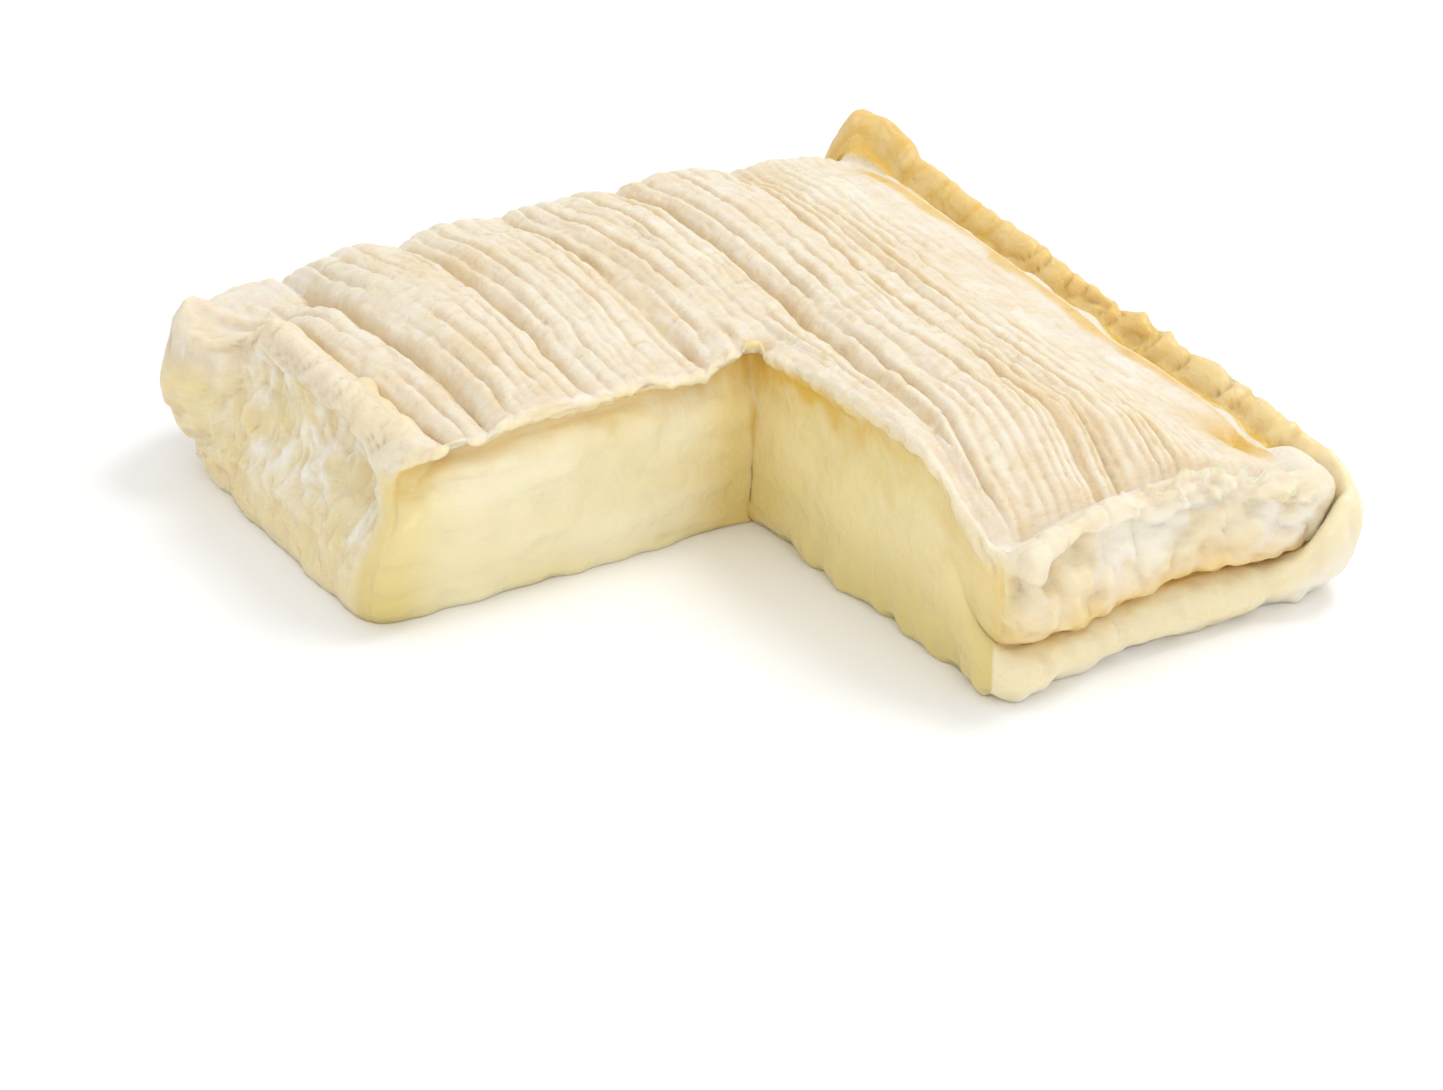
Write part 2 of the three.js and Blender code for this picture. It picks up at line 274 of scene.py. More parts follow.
KNOB = [
    [0, 24.0], [0.4, 23.9], [0.8, 23.8], [1.2, 23.8], [1.6, 23.8], [2.0, 23.9], [2.4, 24.1],
    [2.8, 24.4], [3.3, 24.9], [3.9, 25.6], [4.8, 26.9], [6.2, 28.4], [7.9, 29.1], [9.4, 28.4],
    [10.3, 26.4], [10.3, 23.4], [9.6, 18.0], [9.0, 11.0], [8.6, 4.0], [7.0, 0],
]
FOLDED_BACK = [
    [0, 26.0], [1.6, 25.8], [3.2, 25.1], [4.8, 23.9], [6.2, 22.0], [7.2, 19.4], [7.8, 16.4],
    [7.9, 13.2], [7.0, 10.4], [2.6, 8.6], [4.4, 7.9], [5.9, 7.1], [6.9, 6.1], [7.3, 4.9],
    [7.3, 3.7], [7.0, 2.7], [6.5, 1.8], [5.9, 1.0], [5.2, 0.4], [4.2, 0],
]
EAR = [
    [0, 21.4], [2, 21.4], [4.2, 21.5], [6.4, 21.8], [8.6, 22], [10.4, 21.2], [12, 19.4],
    [13.2, 16.8], [13.8, 13.4], [13.2, 10.6], [12.3, 8.4], [11, 6.8], [9.5, 5.6], [8.8, 4.6],
    [9, 3.8], [9.1, 3], [8.9, 2.2], [8.4, 1.4], [7.8, 0.6], [7, 0],
]
EAR_TIP = [
    [0, 21.4], [2.4, 21.2], [5, 21.6], [7.6, 22.8], [9.4, 24.4], [10.4, 24.7], [11.6, 23],
    [12.9, 19.6], [13.8, 15.2], [13.4, 11.2], [12.4, 8.6], [11, 6.8], [9.5, 5.6], [8.8, 4.6],
    [9, 3.8], [9.1, 3], [8.9, 2.2], [8.4, 1.4], [7.8, 0.6], [7, 0],
]
SADDLE = [
    [0, 23.8], [1.0, 24.0], [2.1, 23.8], [3.0, 23.2], [3.5, 22.3], [3.6, 21.2], [3.5, 20.0],
    [3.4, 18.7], [3.4, 17.3], [3.6, 15.8], [4.2, 14.3], [4.9, 12.6], [5.6, 10.9], [6.2, 9.2],
    [6.8, 7.5], [7.3, 5.8], [7.7, 4.2], [7.9, 2.8], [7.8, 1.3], [7.2, 0],
]
LEFT_RIM = [
    [0, 25.2], [0.9, 26.1], [2, 26.4], [3, 26], [3.7, 25], [3.8, 23.8], [3.3, 22.6], [2.3, 21.6],
    [1.4, 20.5], [1.1, 19], [1.4, 17.3], [2.3, 15.3], [3.3, 13.3], [4.5, 11.3], [5.7, 9.4],
    [6.8, 7.5], [7.6, 5.6], [8.2, 3.8], [8.5, 1.8], [8, 0],
]
POCKET = [
    [0, 25], [0.9, 26], [2.1, 26.3], [3.2, 25.8], [3.9, 24.7], [3.9, 23.4], [2.9, 22.2],
    [0.9, 21.5], [-1.1, 20.3], [-1.9, 18.4], [-1.4, 16.5], [-0.2, 14.8], [1.6, 13], [3.4, 11.2],
    [5, 9.4], [6.4, 7.5], [7.4, 5.6], [8.1, 3.8], [8.5, 1.8], [8, 0],
]
LEFT_END = [
    [0, 24.6], [1.1, 24.6], [2.2, 24.2], [3.1, 23.3], [3.7, 22.2], [4.0, 21.0], [4.0, 19.8],
    [4.1, 18.5], [4.3, 17.2], [4.6, 15.8], [5.0, 14.4], [5.5, 13.0], [6.1, 11.4], [6.8, 9.8],
    [7.4, 8.2], [7.9, 6.6], [8.3, 5.0], [8.6, 3.3], [8.6, 1.6], [8.0, 0],
]
CUT_RIGHT = [
    [0, 27], [0.5, 27], [0.95, 26.8], [1.25, 26.4], [1.3, 25.9], [1, 25.4], [0.6, 24.9],
    [0.35, 24.2], [0.3, 23.1], [0.4, 21.4], [0.6, 19.3], [0.9, 17], [1.1, 14.7], [1.2, 12.2],
    [1.2, 9.7], [1.1, 7.4], [1.2, 5.2], [1.4, 3.2], [1.2, 1.3], [0.2, 0],
]
CUT_RIGHT_END = [
    [0, 22], [0.4, 21.9], [0.8, 21.4], [1.1, 20.6], [1.2, 19.4], [1.2, 17.6], [1.2, 15.4],
    [1.2, 12.8], [1, 10.4], [0.6, 9.1], [1, 8.4], [1.5, 7.7], [2, 7], [2.3, 6], [2.4, 4.8],
    [2.3, 3.5], [2.1, 2.3], [1.8, 1.2], [1.4, 0.4], [0.8, 0],
]
CUT_BACK = [
    [0, 24.8], [0.6, 24.9], [1.1, 24.8], [1.5, 24.5], [1.6, 24.1], [1.2, 23.7], [0.5, 23.4],
    [-0.2, 22.9], [-0.2, 22.1], [0.5, 21.1], [1.1, 19.8], [1.5, 18.1], [1.6, 16], [1.5, 13.6],
    [1.3, 11], [1.2, 8.4], [1, 5.8], [0.8, 3.4], [0.4, 1.4], [-0.4, 0],
]


def rim_at(height):
    """The rolled rim, whose heights are shares of its inner edge's."""
    return [[out, share * height] for out, share in RIM]


def heights_from(section, other):
    """One section's widths at another's heights, for the place where the two walls meet."""
    return [[out, height] for (out, _), (_, height) in zip(section, other)]


# The three walls between the sharp corners, and where each section stands. The way round is
# counted in half sides: 0 is the inner corner of the cut, 1 the front end of its first face, 2, 4
# and 6 the outer corners, 7 the left end of its second face and 8 the start again.
WALLS = [
    [(0, CUT_RIGHT), (0.72, CUT_RIGHT), (1, heights_from(CUT_RIGHT_END, LIPS_END))],
    [
        (1, LIPS_END), (1.1, LIPS), (1.38, LIPS), (1.5, CRUMPLED_LIPS), (1.8, CRUMPLED_LIPS),
        (1.99, BAND_TURN), (2.2, rim_at(17.6)), (2.5, rim_at(18.8)), (3.0, rim_at(20.4)),
        (3.4, rim_at(22.0)), (3.78, rim_at(24.6)), (3.99, KNOB), (4.18, FOLDED_BACK),
        (5.6, FOLDED_BACK), (5.94, EAR), (6, EAR_TIP), (6.05, EAR), (6.17, SADDLE),
        (6.3, LEFT_RIM), (6.5, LEFT_RIM), (6.66, POCKET), (6.78, POCKET), (6.92, LEFT_END),
        (7, LEFT_END),
    ],
    [
        (7, heights_from(CUT_BACK, LEFT_END)), (7.12, CUT_BACK), (7.85, CUT_BACK),
        (8, heights_from(CUT_BACK, CUT_RIGHT)),
    ],
]


def spline_weights(stations, rows):
    """Catmull-Rom weights that turn a section's stations into its rows. The ends are doubled."""
    place = np.linspace(0, stations - 1, rows + 1)
    first = np.minimum(place.astype(int), stations - 2)
    t = place - first
    parts = np.stack([
        -0.5 * t + t**2 - 0.5 * t**3,
        1 - 2.5 * t**2 + 1.5 * t**3,
        0.5 * t + 2 * t**2 - 1.5 * t**3,
        -0.5 * t**2 + 0.5 * t**3,
    ])
    weights = np.zeros((rows + 1, stations))
    for shift, part in zip((-1, 0, 1, 2), parts):
        column = np.clip(first + shift, 0, stations - 1)
        np.add.at(weights, (np.arange(rows + 1), column), part)
    return weights


def wall_profiles(wall, way):
    """The section at each place along a wall, as rows of [outwards, height]: its two neighbours
    in the list, blended by a smooth step."""
    stops = np.array([stop for stop, _ in wall], float)
    weights = spline_weights(STATIONS, ROWS)
    sections = np.stack([weights @ np.array(section, float) for _, section in wall])
    after = np.clip(np.searchsorted(stops, way), 1, len(stops) - 1)
    share = ramp(way, stops[after - 1], stops[after])[:, None, None]
    return sections[after - 1] * (1 - share) + sections[after] * share


# ---------------------------------------------------------------- the plan


def plan_place(u, v):
    """The top's plan: a square in u and v from -1 to 1, stretched to the four edges. Points draw
    in along the ray from the middle, by the fourth power of their distance, so that the outer
    corners become arcs. By a bell of x the front edge stands out a little beside the cut."""
    size = np.maximum(np.maximum(np.abs(u), np.abs(v)), 1e-9)
    p, q = np.abs(u) / size, np.abs(v) / size
    radius = PLAN_RADIUS / RIGHT
    centre = 1 - radius
    dot, square = centre * (p + q), p * p + q * q
    inside = np.maximum(dot**2 - square * (2 * centre**2 - radius**2), 0)
    draw_in = np.where(np.minimum(p, q) > centre, (dot + np.sqrt(inside)) / square, 1.0)
    scale = 1 + (draw_in - 1) * size**4
    x = u * scale * np.where(u > 0, RIGHT, LEFT)
    y = v * scale * np.where(v > 0, BACK, FRONT)
    return x, y - FRONT_BELLY * hump(x, BELLY_WIDTH) * ramp(-y, 20, FRONT)


def ring_nodes(across, deep):
    """The edge of the plan's grid, anticlockwise from the inner corner, as [column, row], and the
    way round of each in half sides."""
    wide, tall = np.arange(across), np.arange(deep)
    left, right = 0 * tall - across, 0 * tall + across
    front, back = 0 * wide - deep, 0 * wide + deep
    sides = [
        (0 * tall, -tall), (wide, front), (right, tall - deep), (right, tall),
        (across - wide, back), (-wide, back), (left, deep - tall), (wide - across, 0 * wide),
    ]
    nodes = np.concatenate([np.stack(side, -1) for side in sides])
    way = np.concatenate([
        number + np.arange(len(side[0])) / len(side[0]) for number, side in enumerate(sides)])
    return nodes, way


def wall_points(edge, way):
    """Points of the three walls, [place in the ring, row, xyz]. Each is its edge point moved
    outwards by its section. Near a sharp corner it also slides along the wall, by a fading share
    of the neighbouring wall's offset there, so that the two walls meet."""
    count = len(edge)
    corners = [0, DEEP, count - ACROSS, count]
    loop = np.vstack([edge, edge[:1]])
    loop_way = np.append(way, 8.0)
    squares, profiles = [], []
    for wall in range(3):
        part = slice(corners[wall], corners[wall + 1] + 1)
        run = np.gradient(loop[part], axis=0)
        run = run / np.linalg.norm(run, axis=1, keepdims=True)
        squares.append(np.stack([run[:, 1], -run[:, 0]], -1))
        profiles.append(wall_profiles(WALLS[wall], loop_way[part]))
    points = np.zeros((count, ROWS + 1, 3))
    fade = (1 - np.linspace(0, 1, ROWS + 1)) ** 1.6
    for wall in range(3):
        part = slice(corners[wall], corners[wall + 1] + 1)
        base, square, profile = loop[part], squares[wall], profiles[wall]
        along = np.stack([-square[:, 1], square[:, 0]], -1)
        place = base[:, None, :] + square[:, None, :] * profile[..., :1]
        for end, other in ((0, (wall + 2) % 3), (-1, (wall + 1) % 3)):
            meeting = -1 if end == 0 else 0
            offset = squares[other][meeting] * profiles[other][meeting][:, :1]
            share = hump(np.linalg.norm(base - base[end], axis=1), CORNER_REACH)
            slide = np.einsum("rc,kc->kr", offset, along) * share[:, None]
            place = place + along[:, None, :] * slide[..., None]
        top = top_height(base[:, 0], base[:, 1])
        height = profile[..., 1] + (top - profile[:, 0, 1])[:, None] * fade
        points[corners[wall]:corners[wall + 1]] = np.concatenate(
            [place, height[..., None]], -1)[:-1]
    points = rounded_corner(points, edge, corners[1], *FRONT_END_WEAR)
    return rounded_corner(points, edge, corners[2], *LEFT_END_WEAR)


def rounded_corner(points, edge, corner, reach, passes):
    """The upright edge at a sharp outer corner, worn round: every pass draws each point towards
    the mean of its two neighbours in the ring, the less the farther it is from the corner. The
    edge of the top stays where it is."""
    apart = np.linalg.norm(edge - edge[corner], axis=1)
    share = hump(apart, reach)[:, None] * ramp(np.arange(ROWS + 1), 1, 14)
    for _ in range(passes):
        mean = (np.roll(points, 1, axis=0) + np.roll(points, -1, axis=0)) / 2
        points = points + 0.9 * share[..., None] * (mean - points)
    return points


# ---------------------------------------------------------------- the whole surface


def grid_nodes(across, deep):
    """Columns and rows of a grid over the square, which nodes the missing quarter leaves, and
    their numbers, with -1 for the others."""
    column, row = np.meshgrid(np.arange(-across, across + 1), np.arange(-deep, deep + 1),
                              indexing="ij")
    present = ~((column < 0) & (row < 0))
    number = np.full(column.shape, -1)
    number[present] = np.arange(present.sum())
    return column, row, present, number


def grid_quads(number, across, deep):
    """The grid's cells outside the missing quarter, anticlockwise."""
    quads = np.stack([number[:-1, :-1], number[1:, :-1], number[1:, 1:], number[:-1, 1:]], -1)
    kept = (np.arange(-across, across)[:, None] >= 0) | (np.arange(-deep, deep)[None, :] >= 0)
    return quads[kept]


def normals_of(points, quads):
    """Each point's outward direction: the sum of its faces' cross products, to unit length."""
    a, b, c, d = (points[quads[:, k]] for k in range(4))
    face = np.cross(c - a, d - b)
    total = np.stack([
        sum(np.bincount(quads[:, k], face[:, axis], len(points)) for k in range(4))
        for axis in range(3)
    ], -1)
    return total / np.maximum(np.linalg.norm(total, axis=1, keepdims=True), 1e-12)


def worn_ends(points):
    """The two outer ends of the cut, drawn in by a bell of the distance from each. The front end
    is drawn in only above its toe."""
    x, y, z = points.T
    front_end = 1.0 * hump(np.hypot(x, y + FRONT + 3.0), 6.5) * ramp(z, 4.5, 10.5)
    left_end = 1.8 * hump(np.hypot(x + LEFT, y), 6.0) * ramp(z, 12, 22)
    return points + np.stack([front_end + left_end, 0.5 * front_end + left_end, 0 * z], -1)


# Local swellings and dimples: [x, y, z, radius, height along the surface's own direction].
SWELLINGS = np.array([
    # two knobs at the left end of the upper lip, the dimples beside them and a lump
    [3.2, -56.6, 18.4, 2.0, 2.7],
    [2.2, -56.0, 11.4, 2.2, 1.8],
    [1.2, -56.2, 15.2, 1.5, -1.9],
    [5.8, -57.0, 15.8, 1.5, -1.5],
    [9.5, -57.0, 12.0, 3.0, 0.9],
    # three beads on the left rim
    [-48.6, 16.5, 26.2, 1.7, 1.5],
    [-49.6, 11.5, 24.2, 1.9, 1.0],
    [-48.4, 6.5, 24.4, 2.0, 0.8],
    # the nick at the inner corner
    [-1.0, -1.0, 25.6, 1.7, -1.9],
    # the hollow under the left rim
    [-52.0, 15.0, 19.5, 3.0, -0.9],
    [-52.0, 24.0, 20.5, 2.4, -0.7],
    # wide swellings of the soft paste on the cut faces
    [-10.0, -1.5, 11.0, 9.0, 0.9],
    [-36.0, -1.5, 13.0, 11.0, 1.0],
    [-1.2, -20.0, 12.0, 12.0, 0.8],
    # the lump and the dimple where the upper lip meets the rolled rim
    [50.5, -54.0, 15.6, 3.0, 1.6],
    [46.0, -54.6, 18.4, 1.4, -1.3],
    # the ear at the back left corner
    [-62.0, 47.0, 12.0, 3.4, 0.8],
    [-61.0, 52.0, 8.0, 3.0, -0.8],
])


def swelling_depth(points):
    """The sum of the swellings: each a bell of the distance from its centre."""
    apart = np.linalg.norm(points[:, None, :] - SWELLINGS[None, :, :3], axis=-1)
    return np.sum(SWELLINGS[:, 4] * hump(apart, SWELLINGS[:, 3]), axis=1)


def webbing(points):
    """The net of mould threads on the left face, from 0 to 1: wide and fine fibres, and longer
    ones that hang down."""
    wide = fibres(points, (3.4, 3.4, 4.4), 57)
    hanging = fibres(points, (2.0, 2.0, 7.0), 64)
    return np.clip(0.75 * wide + 0.45 * hanging + 0.35 * fibres(points, 1.8, 58), 0, 1)


# ---------------------------------------------------------------- finishes and relief, by place

# Below, way is the way round: 0 to 1 is the first cut face, 1 to 2 the front wall, 2 to 4 the
# right wall, 4 to 6 the back wall, 6 to 7 the left wall and 7 to 8 the second cut face. down is
# the share of the way down the wall's rows, from the top's edge to the foot.


def on_cut(way):
    """Whether each point is on a cut face."""
    return ((way >= 0) & (way <= 1)) | (way >= 7)


def on_outer(way):
    """Whether each point is on an outer wall."""
    return (way > 1) & (way < 7)


def on_front(way):
    """How much each point belongs to the front wall, which fades out round the right corner."""
    return np.where(on_outer(way), 1 - ramp(way, 2.1, 2.3), 0)


def raggedness(points):
    """How uneven the edges of the finishes are, as a share of the way down."""
    return 0.035 * grain(points, 3.2, 21) + 0.02 * grain(points, 1.4, 22)


def rind_reach(way):
    """How far down a cut face the rind's own edge is rolled, as a share of the way down."""
    return 0.25 - 0.045 * (way < 2) * ramp(way, 0.06, 0.2)


def lower_lip(way, down):
    """The front wall's lower lip, without its foot."""
    return on_front(way) * ramp(down, 0.47, 0.54) * (1 - ramp(down, 0.78, 0.95))


def slanted(points):
    """Points sheared along Y, so that fibres drawn through them slant round the rolled rim."""
    x, _, z = points.T
    return points + np.stack([0 * x, 1.1 * z - 0.7 * x, 0 * z], -1)


def rope_strands(points):
    """The twisted strands of the rolled rim, from 0 to 1."""
    return fibres(slanted(points), (6, 3.1, 6), 55)


def paste_mask(points, way, down):
    """Bare paste: the cut faces below their rind, the two worn outer ends and the lower lip."""
    edge = rind_reach(way)
    blurred = 0.05 * np.where(way < 2, 1.0, 0.2)
    lowered = down + 1.6 * raggedness(points)
    faces = np.where(on_cut(way), ramp(lowered, edge - blurred, edge + 0.05 + blurred), 0.0)
    left_end = 0.9 * on_outer(way) * ramp(way, 6.88, 6.96) * ramp(down, 0.26, 0.42)
    front_end = 0.7 * on_outer(way) * (1 - ramp(way, 1.0, 1.06)) * ramp(down, 0.15, 0.3)
    return np.max([faces, left_end, front_end, 0.6 * lower_lip(way, down)], axis=0)


def rim_band(way, down):
    """The rolled rim of the right wall, with the groove between it and the top."""
    along = np.where(on_outer(way), ramp(way, 2.02, 2.2) * (1 - ramp(way, 4.1, 4.2)), 0)
    return along * ramp(down, 0.3, 0.42)


def left_wall(way, down):
    """The left wall below its rim."""
    return np.where(on_outer(way), ramp(way, 5.95, 6.1), 0) * ramp(down, 0.3, 0.42)


def straw_mask(points, way, down, paste):
    """Pale yellow skin: the left wall and its rim, the lips, the rolled rim and the rind's edge
    on the cut faces."""
    x, y, _ = points.T
    left_band = ramp(way, 5.96, 6.1) * (1 - ramp(down + raggedness(points), 0.34, 0.46))
    left_band = on_outer(way) * left_band * (0.2 + 0.25 * grain(points, 5, 26))
    left_top = 0.5 * np.where(way < 0, ramp(-x, 47.2, 48.0) * ramp(y, -1, 3), 0)
    lips = 0.45 * on_front(way) * ramp(down, 0.03, 0.2)
    cut_rind = 0.6 * on_cut(way) * ramp(down, 0.04, 0.2) * (1 - paste)
    return np.max([left_band, left_top, lips, left_wall(way, down), cut_rind,
                   rim_band(way, down)], axis=0)


def rim_gold_and_shade(points, way, down):
    """Gold of the rolled rim: its own ochre, stronger towards the back, with painted shade in the
    grooves between its strands, in its groove, and on the top and in the pits beside it.
    """
    x, y, _ = points.T
    rim = rim_band(way, down)
    # Painted shade in the groove between the rim and the top.
    groove = rim * hump(down - GROOVE_DOWN, 0.1)
    # The grooves between the strands get more gold as painted shade.
    striped = 0.36 + 0.3 * ramp(y, -36, -8) + 0.35 * rope_strands(points)
    roll = rim * (1 - ramp(down, 0.72, 0.92)) * striped
    # Painted shade on the top's edge beside the groove, and in the pits.
    beside = ramp(x + 1.2 * grain(points, 6, 23), 47.4, 49.6) * ramp(y, -50, -44)
    beside = 0.8 * np.where(way < 0, beside * ramp(-y, -52, -44), 0)
    pits = np.where(way < 0, hump(np.hypot((x - 48) / 1.3, (y + 41) / 1.4), 4), 0)
    return np.max([roll, groove, beside, pits], axis=0)


def cut_gold_and_shade(points, way, down):
    """Gold of the cut: a soft band under the rind, the tear, painted shade along the seam at the
    inner corner, and painted shade at the corner's foot."""
    x, y, z = points.T
    under_rind = hump(down + 1.5 * raggedness(points) - rind_reach(way) - 0.14, 0.11)
    under_rind = under_rind * np.where(way < 2, 1.3 - 1.0 * ramp(way, 0.1, 0.8), 0.5)
    tear = 1.2 * hump(np.hypot(np.hypot(x + 0.5, y + 0.3), (z - 23) / 1.6), 1.7)
    # Painted shade along the seam where the two cut faces meet.
    wavy = points + 0.5 * grain(points, (9, 9, 5), 24)[:, None]
    seam = hump(np.hypot(wavy[:, 0] + 1.1, wavy[:, 1] + 1.4), 0.75) * ramp(down, 0.2, 0.3)
    # Painted shade round the inner corner.
    corner_shade = 0.22 * hump(np.hypot(x, y), 9)
    on_faces = on_cut(way) * np.max([under_rind, 0.9 * seam, corner_shade], axis=0)
    return np.maximum(tear, on_faces)


def gold_and_shade_mask(points, way, down):
    """Gold: the rim, the cut, the fold between the lips, the hollow under the left rim, and a
    tinge on the left wall. In the hollow it is painted shade, and in the fold painted shade
    with a painted glow of light through the paste."""
    # Painted shade and a painted glow of light through the paste, down in the fold between the
    # lips.
    fold = on_outer(way) * hump(down - FOLD_DOWN, 0.085) * (1 - ramp(way, 5.6, 5.9))
    fold = fold * (0.45 + 0.55 * ramp(way, 1.05, 1.2))
    # Painted shade in the hollow under the left rim.
    pocket = 0.85 * hump(np.linalg.norm(points - [-50.0, 15.0, 19.5], axis=1), 4.6)
    tinge = left_wall(way, down) * 0.28 * (0.6 + 0.5 * grain(points, 6, 25))
    return np.clip(np.max([
        rim_gold_and_shade(points, way, down), cut_gold_and_shade(points, way, down), fold, pocket, tinge,
    ], axis=0), 0, 1)


def mould_mask(points, way, down):
    """White mould: a net of threads on the left wall, and soft fluff on both lips."""
    fuzzy = layered(points, (9, 7, 7), 31) + 0.5 * layered(points, 2.5, 35)
    net = on_outer(way) * ramp(way, 6.08, 6.2) * (1 - ramp(way, 6.86, 6.94))
    net = net * ramp(down, 0.26, 0.36) * (1 - ramp(down, 0.68, 0.92)) * ramp(fuzzy, -0.9, 0.5)
    net = net * np.clip(1.5 * webbing(points) ** 1.3, 0, 1)
    on_lips = hump(down - 0.27, 0.12) + 0.9 * ramp(down, 0.74, 0.92)
    on_lips = 0.8 * on_front(way) * ramp(fuzzy, -0.4, 0.5) * on_lips
    return np.clip(np.maximum(net, on_lips), 0, 1)


def milk_and_sheen_mask(points, way, down):
    """Milky paste: clouds on the second cut face, which also paint the sheen of its wet middle,
    fainter ones on the first, and the lower lip."""
    cloud = 0.5 + 0.5 * grain(points, (11, 11, 6), 36)
    # Painted sheen: the wet middle of the second cut face is paler.
    second = np.where(way > 7, ramp(way, 7.05, 7.2) * (1 - ramp(way, 7.75, 7.95)), 0)
    first = np.where((way >= 0) & (way <= 1), 0.12, 0)
    return second * (0.45 + 0.5 * cloud) + first * cloud + lower_lip(way, down)


def zone_masks(points, way, down):
    """Where each finish lies, from 0 to 1, by the way round and the share of the way down a wall.
    A point of the top has a way round of -1 and a share of 0."""
    paste = paste_mask(points, way, down)
    return {
        "paste": paste,
        "straw": straw_mask(points, way, down, paste),
        "gold_and_shade": gold_and_shade_mask(points, way, down),
        "mould": mould_mask(points, way, down),
        "milk_and_sheen": milk_and_sheen_mask(points, way, down) * paste,
    }


def paste_shape(points, way, paste):
    """Smears left by the knife, and coarser tears on the second cut face."""
    smears = 0.30 * grain(points, (9, 9, 7), 41) + 0.16 * grain(points, (6, 6, 2.4), 42)
    smears = smears + 0.06 * layered(points, (3.4, 3.4, 1.3), 43)
    tears = (0.34 * fibres(points, (11, 9, 3.4), 44) - 0.5 * grain(points, (8, 9, 4.5), 40)
             - 0.3 * grain(points, (3.6, 4, 2.2), 74))
    return paste * (smears - np.where(way > 7, tears, 0))


def front_shape(points, way, down):
    """The front wall: its upper edge, a bead at the left and crumples at the right, the lumps of
    the upper lip, which are noise less a net of ridges, and the drips of the lower one."""
    x = points[:, 0]
    front = 1 - ramp(way, 1.95, 2.15)
    crumpled = ramp(x, 17, 23) * (1 - ramp(down, 0.2, 0.32)) * (1 - ramp(x, 46, 50))
    crumples = 1.9 * (fibres(points, (3.6, 2.6, 2.0), 48) - 0.35) + 0.5 * grain(points, 1.5, 49)
    bead = (1 - ramp(x, 17, 23)) * (1 - ramp(down, 0.2, 0.3))
    bead = -0.45 * bead * fibres(points, (2.4, 5, 5), 63)
    lumps = 0.75 * grain(points, (3.6, 3.6, 2.4), 51) + 0.35 * grain(points, 1.5, 52)
    lumps = hump(down - 0.34, 0.13) * (lumps - 0.8 * fibres(points, (4.6, 5, 2.6), 65))
    drips = 0.42 * grain(points, (1.8, 3, 6), 53) + 0.34 * grain(points, (4.2, 4, 9), 66)
    return front * (crumpled * crumples + bead + lumps + ramp(down, 0.52, 0.62) * drips)


def rim_shape(points, way, down):
    """The right wall: the rope of the rolled rim, deeper towards the front, the waves of its
    groove and of the edge above it, and the curled lump at its front end."""
    y = points[:, 1]
    rim = ramp(way, 2.0, 2.2) * (1 - ramp(way, 4.0, 4.15))
    strands = 0.42 * grain(slanted(points), (5, 2.1, 5), 54) - 0.85 * rope_strands(points)
    rope = ramp(down, 0.46, 0.54) * (1 - ramp(down, 0.76, 0.9)) * strands
    rope = rope * (1.25 - ramp(y, -15, 40)) + 0.25 * grain(points, (4, 6, 4), 56)
    rope = rope + 0.8 * hump(down - 0.42, 0.08) * grain(points, (5, 7, 5), 68)
    rope = rope + 1.0 * hump(down - 0.14, 0.14) * grain(points, (9, 6, 9), 71)
    front_end = hump(np.linalg.norm(points - [51.8, -48.5, 17.0], axis=1), 2.8)
    return rim * rope + 1.6 * ramp(down, 0.5, 0.56) * front_end


def left_shape(points, way, down):
    """The left wall: the net of mould threads, the crumpled ear and the pleats of its rim."""
    left = ramp(way, 5.95, 6.1)
    net = ramp(down, 0.24, 0.36) * (1 - ramp(way, 6.86, 6.94)) * (1 - ramp(down, 0.8, 0.95))
    net = net * (1.1 * webbing(points) - 0.4)
    ear = ramp(down, 0.04, 0.2) * (1 - ramp(way, 6.2, 6.34)) * (1 - ramp(down, 0.85, 0.97))
    ear = ear * (0.5 * grain(points, (3.4, 3.4, 3), 72) - 0.55 * fibres(points, 2.6, 73))
    pleats = 0.26 * grain(points, (6, 2.4, 6), 50) - 0.55 * fibres(slanted(points), (4, 2.3, 4), 67)
    return left * (net + ear + (1 - ramp(down, 0.25, 0.38)) * pleats)


def cut_edge_shape(points, way, down):
    """The cut faces' two edges: the crumpled edge of the rind, and toes along the foot of the
    first face."""
    on_face = ((way >= 0) & (way < 0.97)) | (way > 7.03)
    crumples = 0.4 * grain(points, 2.8, 59) + 0.24 * grain(points, 1.3, 60)
    crumples = crumples - 0.6 * fibres(points, (2.6, 2.6, 7), 75)
    toes = 0.6 * grain(points, (3, 3.6, 14), 69) + 0.35 * grain(points, (2, 1.9, 9), 70)
    on_toes = ramp(down, 0.72, 0.88) * ramp(way, 0.1, 0.25)
    on_toes = np.where((way >= 0) & (way < 1), on_toes, 0)
    return on_face * hump(down - 0.2, 0.09) * crumples + on_toes * toes


def surface_detail(points, way, down, paste):
    """Lumps, ropes, nets and smears, as millimetres along the surface's own direction. Each is
    layered noise, weighted by how much of its part of the cheese lies there."""
    wall = np.where(way < 0, 0.0, ramp(down, 0.0, 0.07))
    outer = on_outer(way) * wall
    lumps = 0.28 * grain(points, 6, 45) + 0.2 * grain(points, 2.6, 46)
    lumps = lumps + 0.1 * grain(points, 1.3, 47)
    shape = wall * lumps * np.clip(1 - paste, 0.12, 1) + paste_shape(points, way, paste)
    shape = shape + outer * (front_shape(points, way, down) + rim_shape(points, way, down)
                             + left_shape(points, way, down))
    foot = np.where(way < 0, 0, ramp(down, 0.84, 0.95))
    uneven_foot = grain(points, (3.1, 3.1, 9), 61) + 0.6 * grain(points, (5.5, 5.5, 9), 62)
    shape = shape + cut_edge_shape(points, way, down) - 0.3 * foot * (0.5 + uneven_foot)
    return shape + swelling_depth(points)


